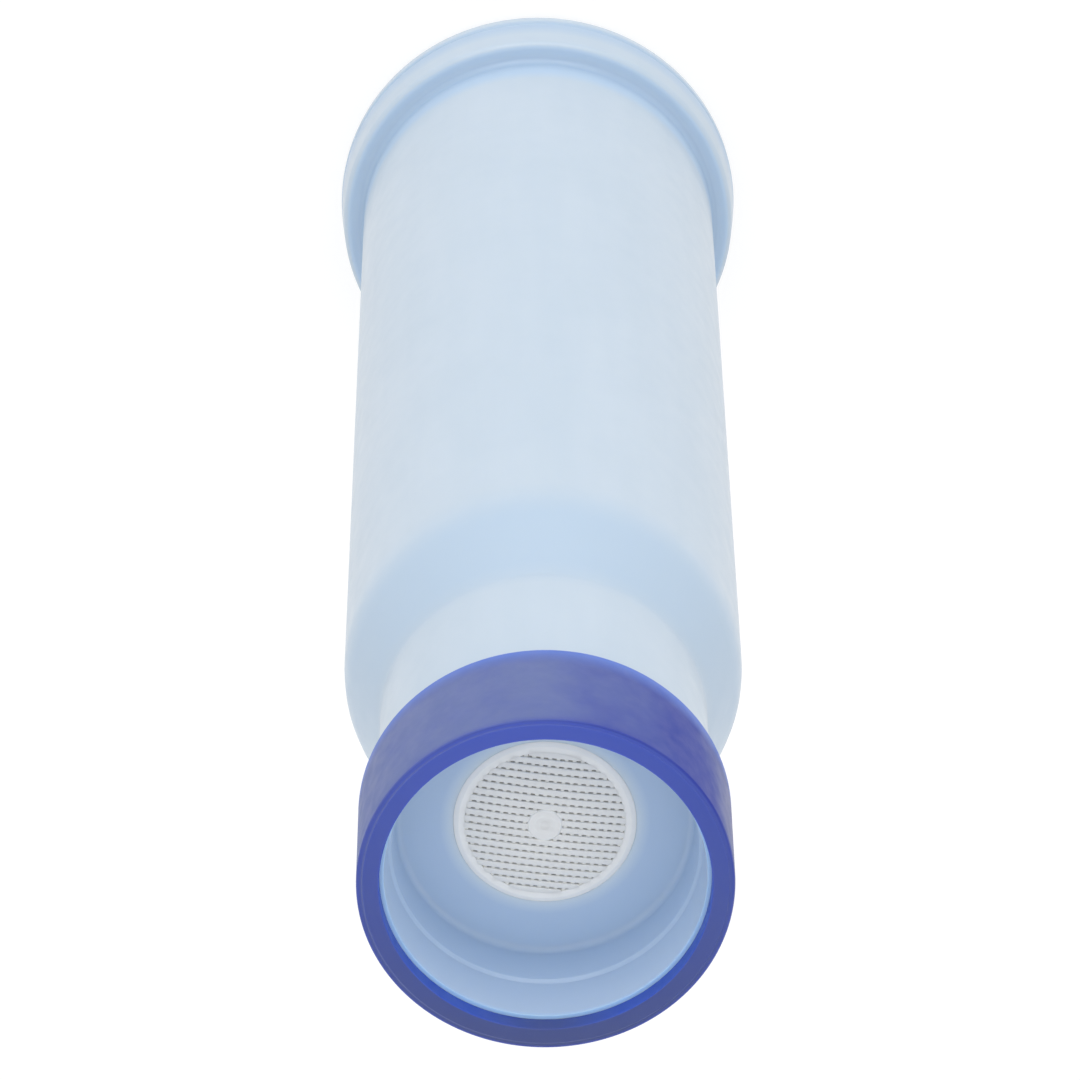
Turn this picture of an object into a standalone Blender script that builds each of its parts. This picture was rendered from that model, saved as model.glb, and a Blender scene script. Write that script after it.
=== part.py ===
"""Plug-in water filter cartridge for a coffee machine's tank.

A tapered, light blue moulded housing ends in a narrower neck with a stepped socket, and a long
dark blue seal is stretched over that neck. White moulded screens close the outlet in the socket's
floor and the inlet in the end cap, and a bed of granules fills the housing between them.
Metres, +Z up. The cartridge stands on its end cap, with the socket's mouth at the top.
"""

import math

import bmesh
import bpy
from mathutils import Vector

MM = 0.001

# Clearance that separate pieces keep where they meet
GAP = 0.3 * MM

# End cap: the plate that the cartridge stands on, and its spigot inside the housing
CAP_RIM = 2.9 * MM
CAP_PLATE = 2.0 * MM
CAP_OVERHANG = 0.1 * MM
CAP_EDGE_ROUND = 1.5 * MM
FOOT_WIDTH = 7.4 * MM
FOOT_HEIGHT = 0.6 * MM
SPIGOT_HEIGHT = 6.0 * MM
SPIGOT_WALL = 1.4 * MM
SPIGOT_LEAD_IN = 0.5 * MM

# Housing: flange, tapered body, cone-shaped shoulder and neck
FLANGE_HEIGHT = 5.3 * MM
FLANGE_OVERHANG = 2.1 * MM
FLANGE_TAPER = 0.4 * MM
FLANGE_EDGE_ROUND = 0.8 * MM
FLANGE_FILLET = 0.8 * MM
BODY_LENGTH = 110.5 * MM
BODY_RADIUS = 19.15 * MM
BODY_TAPER = 0.85 * MM
BODY_WALL = 1.5 * MM
SHOULDER_HEIGHT = 7.8 * MM
SHOULDER_ROUND = 9.0 * MM
SHOULDER_FILLET = 1.6 * MM
NECK_LENGTH = 29.5 * MM
NECK_RADIUS = 15.5 * MM

# Socket in the neck, which takes the tank's outlet: a wide mouth, a step, then the floor
MOUTH_WALL = 0.9 * MM
MOUTH_TAPER = 0.3 * MM
MOUTH_DEPTH = 5.4 * MM
STEP_HEIGHT = 0.3 * MM
SOCKET_WALL = 1.5 * MM
SOCKET_TAPER = 0.3 * MM
SOCKET_DEPTH = 10.0 * MM
SOCKET_FILLET = 0.9 * MM
FLOOR_WALL = 1.6 * MM

# Seal stretched over the neck
SEAL_LENGTH = 13.4 * MM
SEAL_WALL = 1.25 * MM
SEAL_FLARE = 0.1 * MM
SEAL_LIP = 1.4 * MM
SEAL_BEVEL = 0.15 * MM
SEAL_REAR_ROUND = 0.5 * MM
SEAL_BORE_STEP = 0.3 * MM

# Screens, the same moulding at both ends, and the stepped seat that each one drops into
SCREEN_RADIUS = 8.4 * MM
SCREEN_THICKNESS = 1.5 * MM
SCREEN_PROUD = 0.3 * MM
SCREEN_EDGE_ROUND = 0.3 * MM
SCREEN_RIM = 1.05 * MM
GRILLE_RECESS = 0.15 * MM
GATE_RADIUS = 1.65 * MM
SLOT_PITCH = 0.747 * MM
SLOT_WIDTH = 0.26 * MM
SLOT_ROWS = 9
RIB_WIDTH = 0.8 * MM
RIB_SPACING = 4 * SLOT_PITCH
SLOT_OVERLAP = 0.1 * MM
SCREEN_TURN = math.radians(8.0)
SEAT_EDGE_ROUND = 0.35 * MM
SEAT_LEDGE_WIDTH = 1.4 * MM
SEAT_LEDGE_WALL = 1.2 * MM
SEAT_HUB_WALL = 2.2 * MM

# Facets
TURNS = 48
INNER_TURNS = 36
ROUND_STEPS = 3
ARC_STEPS = 4

# Heights, from the face that the cartridge stands on
Z_FLANGE_BACK = CAP_RIM + GAP
Z_FLANGE_FACE = Z_FLANGE_BACK + FLANGE_HEIGHT
Z_SHOULDER = Z_FLANGE_FACE + BODY_LENGTH
Z_NECK = Z_SHOULDER + SHOULDER_HEIGHT
Z_NECK_END = Z_NECK + NECK_LENGTH
Z_STEP = Z_NECK_END - MOUTH_DEPTH
Z_FLOOR = Z_NECK_END - SOCKET_DEPTH
Z_SPIGOT_TOP = CAP_RIM + SPIGOT_HEIGHT
Z_SEAL_FACE = Z_NECK_END + GAP + SEAL_LIP

# Radii that follow from the sizes above
BODY_RADIUS_AT_FLANGE = BODY_RADIUS + BODY_TAPER
FLANGE_RADIUS = BODY_RADIUS_AT_FLANGE + FLANGE_OVERHANG
FLANGE_BACK_RADIUS = FLANGE_RADIUS + FLANGE_TAPER
CAP_RADIUS = FLANGE_BACK_RADIUS + CAP_OVERHANG
CHAMBER_RADIUS = BODY_RADIUS - BODY_WALL
MOUTH_RADIUS = NECK_RADIUS - MOUTH_WALL
SOCKET_RADIUS = NECK_RADIUS - SOCKET_WALL
NECK_CHAMBER_RADIUS = NECK_RADIUS - SOCKET_WALL
SEAT_RADIUS = SCREEN_RADIUS + GAP
SEAT_HOLE_RADIUS = SCREEN_RADIUS - SEAT_LEDGE_WIDTH
SEAT_HUB_RADIUS = SEAT_RADIUS + SEAT_HUB_WALL
SEAT_DEPTH = SCREEN_THICKNESS - SCREEN_PROUD + GAP
SEAT_TOTAL = SEAT_DEPTH + SEAT_LEDGE_WALL
GRILLE_RADIUS = SCREEN_RADIUS - SCREEN_RIM

MATERIALS = {
    "light_blue_plastic": ((0.60, 0.72, 0.85), 0.38),
    "dark_blue_rubber": ((0.055, 0.085, 0.44), 0.55),
    "white_plastic": ((0.83, 0.84, 0.84), 0.45),
    "granules": ((0.20, 0.14, 0.08), 0.85),
}


def clear_scene():
    for item in list(bpy.data.objects):
        bpy.data.objects.remove(item)


def material(name):
    """The named plastic, rubber or granule material, made once."""
    found = bpy.data.materials.get(name)
    if found:
        return found
    colour, roughness = MATERIALS[name]
    made = bpy.data.materials.new(name)
    made.use_nodes = True
    surface = made.node_tree.nodes["Principled BSDF"]
    surface.inputs["Base Color"].default_value = (*colour, 1.0)
    surface.inputs["Roughness"].default_value = roughness
    surface.inputs["Metallic"].default_value = 0.0
    return made


def rounded(corners):
    """A closed outline from (radius, height) corners. A third number rounds that corner."""
    outline = []
    for place, corner in enumerate(corners):
        here = Vector(corner[:2])
        if len(corner) == 2:
            outline.append(here)
            continue
        before = Vector(corners[place - 1][:2]) - here
        after = Vector(corners[(place + 1) % len(corners)][:2]) - here
        half_angle = before.angle(after) / 2
        reach = min(corner[2] / math.tan(half_angle), 0.49 * before.length, 0.49 * after.length)
        fillet = reach * math.tan(half_angle)
        start = here + before.normalized() * reach
        end = here + after.normalized() * reach
        middle = (before.normalized() + after.normalized()).normalized()
        centre = here + middle * (fillet / math.sin(half_angle))
        sweep = (start - centre).angle_signed(end - centre)
        for step in range(ROUND_STEPS + 1):
            turn = sweep * step / ROUND_STEPS
            arm = start - centre
            outline.append(
                centre
                + Vector(
                    (
                        arm.x * math.cos(turn) + arm.y * math.sin(turn),
                        arm.y * math.cos(turn) - arm.x * math.sin(turn),
                    )
                )
            )
    return outline


def finish(name, shape, slot):
    """Puts a bmesh into the scene as one named, smooth-shaded object."""
    mesh = bpy.data.meshes.new(name)
    shape.to_mesh(mesh)
    shape.free()
    mesh.shade_smooth()
    mesh.set_sharp_from_angle(angle=math.radians(35))
    made = bpy.data.objects.new(name, mesh)
    bpy.context.scene.collection.objects.link(made)
    if slot:
        mesh.materials.append(material(slot))
    return made


def turned(name, corners, slot, turns=TURNS):
    """A solid of revolution about +Z, spun from a closed outline of (radius, height) corners."""
    shape = bmesh.new()
    ring = [shape.verts.new((point.x, 0.0, point.y)) for point in rounded(corners)]
    edges = [shape.edges.new((ring[i - 1], ring[i])) for i in range(len(ring))]
    bmesh.ops.spin(
        shape,
        geom=ring + edges,
        cent=(0, 0, 0),
        axis=(0, 0, 1),
        angle=2 * math.pi,
        steps=turns,
        use_merge=True,
    )
    bmesh.ops.remove_doubles(shape, verts=shape.verts[:], dist=0.001 * MM)
    on_axis = [e for e in shape.edges if max(v.co.xy.length for v in e.verts) < 0.001 * MM]
    bmesh.ops.delete(shape, geom=on_axis, context="EDGES")
    bmesh.ops.recalc_face_normals(shape, faces=shape.faces[:])
    return finish(name, shape, slot)


def cutter(name, shape):
    bmesh.ops.recalc_face_normals(shape, faces=shape.faces[:])
    made = finish(name, shape, None)
    made.hide_render = True
    made.display_type = "WIRE"
    return made


def cut(target, tool):
    step = target.modifiers.new(tool.name, "BOOLEAN")
    step.operation = "DIFFERENCE"
    step.object = tool


def add_prism(shape, outline, low, high):
    """A prism between two heights over a closed outline in X and Y."""
    bottom = [shape.verts.new((x, y, low)) for x, y in outline]
    top = [shape.verts.new((x, y, high)) for x, y in outline]
    shape.faces.new(bottom[::-1])
    shape.faces.new(top)
    for i in range(len(outline)):
        shape.faces.new((bottom[i - 1], bottom[i], top[i], top[i - 1]))


def seat_corners(face, inward):
    """A screen's stepped seat, from its outer edge to its hub. inward is -1 or 1 along Z."""
    return [
        (SEAT_RADIUS, face, SEAT_EDGE_ROUND),
        (SEAT_RADIUS, face + inward * SEAT_DEPTH),
        (SEAT_HOLE_RADIUS, face + inward * SEAT_DEPTH),
        (SEAT_HOLE_RADIUS, face + inward * SEAT_TOTAL),
        (SEAT_HUB_RADIUS, face + inward * SEAT_TOTAL),
    ]


def chamber_radius_at(height):
    """The tapered body's inner radius at a height."""
    share = (Z_SHOULDER - height) / BODY_LENGTH
    return CHAMBER_RADIUS + BODY_TAPER * share


def housing():
    floor_back = Z_FLOOR - FLOOR_WALL
    outside = [
        (FLANGE_BACK_RADIUS, Z_FLANGE_BACK),
        (FLANGE_RADIUS, Z_FLANGE_FACE, FLANGE_EDGE_ROUND),
        (BODY_RADIUS_AT_FLANGE, Z_FLANGE_FACE, FLANGE_FILLET),
        (BODY_RADIUS, Z_SHOULDER, SHOULDER_ROUND),
        (NECK_RADIUS, Z_NECK, SHOULDER_FILLET),
        (NECK_RADIUS, Z_NECK_END),
    ]
    socket = [
        (MOUTH_RADIUS, Z_NECK_END),
        (MOUTH_RADIUS - MOUTH_TAPER, Z_STEP + STEP_HEIGHT),
        (SOCKET_RADIUS, Z_STEP),
        (SOCKET_RADIUS - SOCKET_TAPER, Z_FLOOR, SOCKET_FILLET),
    ]
    chamber = [
        (SEAT_HUB_RADIUS, floor_back),
        (NECK_CHAMBER_RADIUS, floor_back),
        (NECK_CHAMBER_RADIUS, Z_NECK),
        (CHAMBER_RADIUS, Z_SHOULDER),
        (chamber_radius_at(Z_FLANGE_BACK), Z_FLANGE_BACK),
    ]
    return turned(
        "housing", outside + socket + seat_corners(Z_FLOOR, -1) + chamber, "light_blue_plastic"
    )


def end_cap():
    spigot_outside = chamber_radius_at(Z_SPIGOT_TOP) - GAP
    spigot_inside = spigot_outside - SPIGOT_WALL
    foot_inside = CAP_RADIUS - FOOT_WIDTH
    plate_inside = FOOT_HEIGHT + CAP_PLATE
    plate = [
        (SEAT_HUB_RADIUS, plate_inside),
        (spigot_inside, plate_inside),
        (spigot_inside, Z_SPIGOT_TOP),
        (spigot_outside - SPIGOT_LEAD_IN, Z_SPIGOT_TOP),
        (spigot_outside, Z_SPIGOT_TOP - SPIGOT_LEAD_IN),
        (spigot_outside, CAP_RIM),
        (CAP_RADIUS, CAP_RIM),
        (CAP_RADIUS, 0, CAP_EDGE_ROUND),
        (foot_inside, 0),
        (foot_inside - FOOT_HEIGHT, FOOT_HEIGHT),
    ]
    return turned("end_cap", seat_corners(FOOT_HEIGHT, 1) + plate, "light_blue_plastic")


def seal_ring():
    inside = NECK_RADIUS + GAP
    outside = inside + SEAL_WALL
    bore = MOUTH_RADIUS + SEAL_BORE_STEP
    rear = Z_SEAL_FACE - SEAL_LENGTH
    return turned(
        "seal_ring",
        [
            (outside + SEAL_FLARE, rear, SEAL_REAR_ROUND),
            (outside, Z_SEAL_FACE - SEAL_BEVEL),
            (outside - SEAL_BEVEL, Z_SEAL_FACE),
            (bore, Z_SEAL_FACE),
            (bore, Z_NECK_END + GAP),
            (inside, Z_NECK_END + GAP),
            (inside, rear),
        ],
        "dark_blue_rubber",
    )


def half_chord(offset, radius):
    """Half the length of a circle's chord at this offset from its centre, or 0 outside it."""
    return math.sqrt(max(radius**2 - offset**2, 0.0))


def front_slots(name, low, high):
    """The narrow slots between the grille's front bars, which stop short of the moulding gate."""
    shape = bmesh.new()
    for row in range(-SLOT_ROWS, SLOT_ROWS + 1):
        middle = row * SLOT_PITCH
        near, far = middle - SLOT_WIDTH / 2, middle + SLOT_WIDTH / 2
        end = half_chord(max(abs(near), abs(far)), GRILLE_RADIUS)
        gate = half_chord(min(abs(near), abs(far)) if row else 0, GATE_RADIUS)
        for start, stop in [(-end, -gate), (gate, end)] if gate else [(-end, end)]:
            add_prism(shape, [(start, near), (stop, near), (stop, far), (start, far)], low, high)
    return cutter(name, shape)


def rear_slots(name, low, high):
    """The wide openings between the grille's rear ribs, with ends that follow its round edge."""
    shape = bmesh.new()
    count = int(GRILLE_RADIUS / RIB_SPACING)
    for column in range(-count, count + 1):
        left = column * RIB_SPACING - (RIB_SPACING - RIB_WIDTH) / 2
        right = left + RIB_SPACING - RIB_WIDTH
        right = min(right, GRILLE_RADIUS - SLOT_WIDTH)
        left = max(left, SLOT_WIDTH - GRILLE_RADIUS)
        across = [left + (right - left) * step / ARC_STEPS for step in range(ARC_STEPS + 1)]
        upper = [(x, half_chord(x, GRILLE_RADIUS)) for x in across]
        lower = [(x, -y) for x, y in reversed(upper)]
        add_prism(shape, (upper + lower)[::-1], low, high)
    return cutter(name, shape)


def screen(name, face, inward):
    """A moulded screen: front bars crossed by rear ribs, inside a rim, with a round gate pad.

    It is modelled with its front face up at height 0, then turned and placed in its seat.
    """
    grille_front = -GRILLE_RECESS
    grille_back = GRILLE_RECESS - SCREEN_THICKNESS
    grille_middle = (grille_front + grille_back) / 2
    made = turned(
        name,
        [
            (0, 0),
            (GATE_RADIUS, 0),
            (GATE_RADIUS, grille_front),
            (GRILLE_RADIUS, grille_front),
            (GRILLE_RADIUS, 0),
            (SCREEN_RADIUS, 0, SCREEN_EDGE_ROUND),
            (SCREEN_RADIUS, -SCREEN_THICKNESS),
            (GRILLE_RADIUS, -SCREEN_THICKNESS),
            (GRILLE_RADIUS, grille_back),
            (0, grille_back),
        ],
        "white_plastic",
        INNER_TURNS,
    )
    front = front_slots(name + "_front_slots", grille_middle - SLOT_OVERLAP, SCREEN_THICKNESS)
    rear = rear_slots(name + "_rear_slots", -2 * SCREEN_THICKNESS, grille_middle)
    cut(made, front)
    cut(made, rear)
    for item in (made, front, rear):
        item.location.z = face - inward * SCREEN_PROUD
        item.rotation_euler = (math.pi if inward > 0 else 0.0, 0.0, inward * SCREEN_TURN)
    return made


def filter_media():
    """The bed of granules, which fills the housing and reaches up to each screen's back."""
    plug = SEAT_HOLE_RADIUS - GAP
    screen_back = SEAT_DEPTH
    spigot_inside = chamber_radius_at(Z_SPIGOT_TOP) - GAP - SPIGOT_WALL
    low_hub = FOOT_HEIGHT + SEAT_TOTAL + GAP
    high_hub = Z_FLOOR - SEAT_TOTAL - GAP
    return turned(
        "filter_media",
        [
            (0, FOOT_HEIGHT + screen_back),
            (plug, FOOT_HEIGHT + screen_back),
            (plug, low_hub),
            (SEAT_HUB_RADIUS + GAP, low_hub),
            (SEAT_HUB_RADIUS + GAP, FOOT_HEIGHT + CAP_PLATE + GAP),
            (spigot_inside - GAP, FOOT_HEIGHT + CAP_PLATE + GAP),
            (spigot_inside - GAP, Z_SPIGOT_TOP + GAP),
            (chamber_radius_at(Z_SPIGOT_TOP) - GAP, Z_SPIGOT_TOP + GAP),
            (CHAMBER_RADIUS - GAP, Z_SHOULDER),
            (NECK_CHAMBER_RADIUS - GAP, Z_NECK),
            (NECK_CHAMBER_RADIUS - GAP, Z_FLOOR - FLOOR_WALL - GAP),
            (SEAT_HUB_RADIUS + GAP, Z_FLOOR - FLOOR_WALL - GAP),
            (SEAT_HUB_RADIUS + GAP, high_hub),
            (plug, high_hub),
            (plug, Z_FLOOR - screen_back),
            (0, Z_FLOOR - screen_back),
        ],
        "granules",
        INNER_TURNS,
    )


def build():
    clear_scene()
    housing()
    end_cap()
    seal_ring()
    screen("outlet_screen", Z_FLOOR, -1)
    screen("inlet_screen", FOOT_HEIGHT, 1)
    filter_media()


build()
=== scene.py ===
"""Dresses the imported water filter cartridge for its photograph.

The cartridge stands on its end cap. The camera looks down into the socket's mouth, with the picture
turned so that the mouth is at its foot. Lengths are in metres, and MM turns millimetres into them.
Colours are red, green and blue in linear light.
"""

import math

import bmesh
import bpy
from mathutils import Matrix, Vector


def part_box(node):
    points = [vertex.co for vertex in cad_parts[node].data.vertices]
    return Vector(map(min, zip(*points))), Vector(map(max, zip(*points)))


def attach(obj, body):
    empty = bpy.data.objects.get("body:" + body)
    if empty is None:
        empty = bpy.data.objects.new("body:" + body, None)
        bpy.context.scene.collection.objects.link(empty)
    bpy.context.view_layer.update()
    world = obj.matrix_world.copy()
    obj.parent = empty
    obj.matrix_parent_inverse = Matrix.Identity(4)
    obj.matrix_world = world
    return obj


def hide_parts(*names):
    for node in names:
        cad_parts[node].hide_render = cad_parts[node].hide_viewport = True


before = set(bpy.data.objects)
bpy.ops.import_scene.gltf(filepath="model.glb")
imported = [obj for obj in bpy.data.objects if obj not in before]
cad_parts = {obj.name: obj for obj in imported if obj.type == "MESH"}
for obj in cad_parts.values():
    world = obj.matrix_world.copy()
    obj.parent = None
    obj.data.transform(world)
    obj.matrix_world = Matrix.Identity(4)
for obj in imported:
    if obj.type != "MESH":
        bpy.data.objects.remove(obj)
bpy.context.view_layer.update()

MM = 0.001

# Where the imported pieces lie
HOUSING_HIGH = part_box("housing")[1]
CAP_LOW, CAP_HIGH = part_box("end_cap")
SEAL_LOW, SEAL_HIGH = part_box("seal_ring")

# Joints between touching pieces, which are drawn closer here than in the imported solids
JOINT = 0.04 * MM

# End cap
CAP_RADIUS = CAP_HIGH.x
CAP_RIM = 3.1 * MM
CAP_PLATE = 2.0 * MM
CAP_EDGE_ROUND = 1.5 * MM
CAP_DRAFT = 0.2 * MM
CAP_RIM_ROUND = 0.8 * MM
FOOT_WIDTH = 7.4 * MM
FOOT_HEIGHT = 0.78 * MM
FOOT_ROUND = 0.4 * FOOT_HEIGHT
SPIGOT_WALL = 1.4 * MM
SPIGOT_LEAD_IN = 0.5 * MM
SPIGOT_CLEARANCE = 4 * JOINT

# Housing
FLANGE_BACK_RADIUS = HOUSING_HIGH.x
FLANGE_TAPER = 0.4 * MM
FLANGE_FACE = 8.1 * MM
FLANGE_BACK_ROUND = 0.12 * MM
FLANGE_EDGE_ROUND = 0.9 * MM
FLANGE_FILLET = 1.1 * MM
FLANGE_OVERHANG = 2.25 * MM
BODY_TAPER = 0.7 * MM
BODY_WALL = 1.5 * MM
NECK_LENGTH = 29.5 * MM
NECK_RADIUS = 15.5 * MM
SHOULDER_HEIGHT = 7.8 * MM
SHOULDER_ROUND = 9.0 * MM
SHOULDER_FILLET = 1.6 * MM

# Socket
MOUTH_WALL = 0.9 * MM
MOUTH_TAPER = 0.3 * MM
MOUTH_DEPTH = 5.4 * MM
MOUTH_ROUND = 0.08 * MM
STEP_HEIGHT = 0.35 * MM
STEP_ROUND = 0.18 * MM
SOCKET_WALL = 1.5 * MM
SOCKET_TAPER = 0.3 * MM
SOCKET_DEPTH = 10.0 * MM
SOCKET_FILLET = 0.7 * MM
FLOOR_WALL = 1.6 * MM

# Seal
SEAL_RADIUS = 17.05 * MM
SEAL_FLARE = 0.1 * MM
SEAL_FRONT_ROUND = 0.15 * MM
SEAL_REAR_ROUND = 0.5 * MM
SEAL_BORE_ROUND = 0.12 * MM
SEAL_BORE_STEP = 0.38 * MM
SEAL_BAND_WIDTH = 0.5 * MM
SEAL_BAND_HEIGHT = 0.06 * MM
WORN_SIDE = (-0.78, -0.62, 0.0)

# Strainers and their seats
STRAINER_RADIUS = 8.4 * MM
STRAINER_THICKNESS = 1.5 * MM
STRAINER_PROUD = 0.2 * MM
STRAINER_EDGE_ROUND = 0.4 * MM
STRAINER_EDGE_SLOPE = 0.45 * MM
STRAINER_RIM = 1.05 * MM
STRAINER_TURN = math.radians(8.0)
GRILLE_CROWN = 0.4 * MM
GRILLE_PITCH = 0.747 * MM
GRILLE_ROWS = 20
GRILLE_GAP = 0.185 * MM
FRONT_BAR_DEPTH = 0.45 * MM
REAR_BAR_DROP = 0.14 * MM
REAR_BAR_WIDTH = 0.36 * MM
REAR_BAR_DEPTH = 0.65 * MM
BAR_ROUND = 0.07 * MM
GATE_RADIUS = 1.65 * MM
GATE_ROUND = 0.25 * MM
GATE_DIMPLE_RADIUS = 0.9 * MM
GATE_DIMPLE_DEPTH = 0.06 * MM
GATE_PROUD = 0.06 * MM
SEAT_EDGE_ROUND = 0.015 * MM
SEAT_LEDGE_WIDTH = 1.4 * MM
SEAT_LEDGE_WALL = 1.2 * MM
SEAT_HUB_WALL = 2.2 * MM

# Meshes
TURNS = 192
STRAINER_TURNS = 96
GATE_TURNS = 48
FACETS_PER_TURN = 40
FEWEST_FACETS = 3
LARGEST_EDGE_SHARE = 0.49
MERGE_DISTANCE = 0.0005 * MM
SHARP_ANGLE = math.radians(30)
BAR_POINTS = 13
BAR_ROUND_POINTS = 3

# Heights and radii that follow from the sizes above
BODY_FOOT_RADIUS = FLANGE_BACK_RADIUS - FLANGE_TAPER - FLANGE_OVERHANG
BODY_TOP_RADIUS = BODY_FOOT_RADIUS - BODY_TAPER
NECK_END = HOUSING_HIGH.z
NECK_FOOT = NECK_END - NECK_LENGTH
BODY_TOP = NECK_FOOT - SHOULDER_HEIGHT
MOUTH_RADIUS = NECK_RADIUS - MOUTH_WALL
SOCKET_RADIUS = NECK_RADIUS - SOCKET_WALL
SOCKET_FLOOR = NECK_END - SOCKET_DEPTH
SEAL_BORE_RADIUS = MOUTH_RADIUS + SEAL_BORE_STEP
SEAT_RADIUS = STRAINER_RADIUS + 0.25 * JOINT
SEAT_HOLE_RADIUS = STRAINER_RADIUS - SEAT_LEDGE_WIDTH
SEAT_HUB_RADIUS = SEAT_RADIUS + SEAT_HUB_WALL
SEAT_DEPTH = STRAINER_THICKNESS - STRAINER_PROUD + JOINT
GRILLE_RADIUS = STRAINER_RADIUS - STRAINER_RIM

# Light blue plastic
BLUE_DEEP = (0.468, 0.566, 0.668)
BLUE_PALE = (0.498, 0.590, 0.688)
# Painted shade of the flange on the body beside its root
BLUE_ROOT_PAINTED_SHADE = (0.450, 0.585, 0.745)
# Painted shade in the crease between the flange's face and the body
BLUE_CREASE_PAINTED_SHADE = (0.362, 0.495, 0.668)
# Painted shade in the groove between the flange and the cap's rim
BLUE_JOINT_PAINTED_SHADE = (0.390, 0.520, 0.680)
# Painted shade on the shoulder's slope
BLUE_SHOULDER_PAINTED_SHADE = (0.434, 0.554, 0.688)
# Painted light and painted shade on the socket's floor and walls
BLUE_SOCKET_FLOOR_PAINTED_LIGHT = (0.440, 0.580, 0.760)
BLUE_SOCKET_WALL_PAINTED_LIGHT = (0.540, 0.690, 0.905)
BLUE_SOCKET_WALL_PAINTED_SHADE = (0.470, 0.605, 0.800)
# Painted glow on the mouth's edge
BLUE_MOUTH_EDGE_PAINTED_GLOW = (0.400, 0.630, 0.960)
# Painted glow of the strainer's light on the floor round it
BLUE_PAINTED_GLOW_BESIDE_STRAINER = (0.64, 0.75, 0.85)

# Dark blue rubber
RUBBER_DEEP = (0.052, 0.080, 0.340)
RUBBER_LIVELY = (0.058, 0.090, 0.380)
RUBBER_WORN = (0.020, 0.042, 0.310)
# Painted glow and painted shade across the seal's front face
RUBBER_FACE_PAINTED_GLOW = (0.058, 0.105, 0.520)
RUBBER_FACE_PAINTED_SHADE = (0.060, 0.084, 0.225)
# Painted highlight on the face's raised band
RUBBER_BAND_PAINTED_HIGHLIGHT = (0.140, 0.180, 0.420)
# Painted glow of light through the rubber in the bore
RUBBER_BORE_PAINTED_GLOW = (0.036, 0.095, 0.480)
# Painted glow of light through the seal's thin rear edge
RUBBER_REAR_EDGE_PAINTED_GLOW = (0.100, 0.185, 0.580)
# Bloom with a painted sheen on the seal's outer side, and a paler painted sheen on its far side
RUBBER_BLOOM_AND_SHEEN = (0.120, 0.162, 0.360)
RUBBER_FAR_PAINTED_SHEEN = (0.180, 0.195, 0.355)
REAR_EDGE_START = SEAL_LOW.z + 0.8 * MM
REAR_EDGE_END = SEAL_LOW.z + 2.8 * MM

# White plastic and granules
WHITE_DULL = (0.92, 0.92, 0.88)
WHITE_BRIGHT = (0.95, 0.95, 0.91)
WHITE_BARS = (0.80, 0.80, 0.77)
# Painted shade down in the strainer's gaps, on one side
GAP_PAINTED_SHADE = (0.44, 0.38, 0.29)
GAP_SHADE_DEPTHS = (0.2 * MM, 0.55 * MM)
GAP_SHADE_FADE = (-1.5 * MM, 3.5 * MM)
RESIN_DARK = (0.33, 0.19, 0.07)
RESIN_PALE = (0.47, 0.31, 0.14)
CARBON = (0.022, 0.02, 0.019)
CARBON_SHARE = (0.52, 0.56)
GRANULES_PER_METRE = 1900.0
# Painted light on the granules on one side near the outlet
GRANULES_PAINTED_LIGHT = (0.66, 0.64, 0.60)
PAINTED_LIGHT_FADE = (0.0, 4.0 * MM)
PAINTED_LIGHT_HEIGHTS = (NECK_FOOT, NECK_FOOT + 5.0 * MM)

# Range that most of a noise's values lie in
NOISE_LOW = 0.3
NOISE_HIGH = 0.7

# Photograph: its size, lens and mouth's place in pixels, and the cartridge's attitude to the view
PHOTO_PIXELS = 1080
FOCAL_PIXELS = 5500
SENSOR_WIDTH = 36.0
MOUTH_PIXEL = (545.7, 886.5)
MOUTH_DISTANCE = 493.9 * MM
VIEW_TILT = math.radians(26.63)
VIEW_ROLL = math.radians(0.64)

# Light
WHITE_LIGHT = (1.0, 1.0, 1.0, 1.0)
SKY_AXIS = (0.0, -0.46, 0.89)
SKY_BRIGHT = 1.22
SKY_DIM = 0.45
SKY_DIM_ALONG = -0.2
BACKDROP_OVERHEAD = 0.4
BACKDROP_FALL = (0.6, 0.9)
LAMP_SIZE = (0.9, 0.5)
LAMP_TARGET = Vector((0.0, 0.0, 0.08))
KEY_POWER = 2.2
KEY_PLACE = Vector((0.0, -0.95, 0.28))
FILL_POWER = 1.9
FILL_PLACE = Vector((0.0, 0.95, 0.28))

# Floor
FLOOR_SIZE = 8.0
FLOOR_PAINT = (0.86, 0.86, 0.86, 1.0)
FLOOR_GLOW = 0.1
FLOOR_SEEN_PAINT = (0.3, 0.3, 0.3, 1.0)
FLOOR_SEEN_GLOW = 0.74


def rounded(corners):
    """A closed outline from (radius, height) corners. A third number rounds that corner.

    A rounding takes less than half of each edge beside it, and is made smaller where it would not.
    """
    outline = []
    for index, corner in enumerate(corners):
        here = Vector(corner[:2])
        if len(corner) == 2:
            outline.append(here)
            continue
        before = Vector(corners[index - 1][:2]) - here
        after = Vector(corners[(index + 1) % len(corners)][:2]) - here
        half_angle = before.angle(after) / 2
        longest_reach = LARGEST_EDGE_SHARE * min(before.length, after.length)
        reach = min(corner[2] / math.tan(half_angle), longest_reach)
        fillet = reach * math.tan(half_angle)
        start = here + before.normalized() * reach
        end = here + after.normalized() * reach
        middle = (before.normalized() + after.normalized()).normalized()
        centre = here + middle * (fillet / math.sin(half_angle))
        sweep = (start - centre).angle_signed(end - centre)
        steps = max(FEWEST_FACETS, round(FACETS_PER_TURN * abs(sweep) / (2 * math.pi)))
        for step in range(steps + 1):
            arm = start - centre
            arm.rotate(Matrix.Rotation(-sweep * step / steps, 2))
            outline.append(centre + arm)
    return outline


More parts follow.
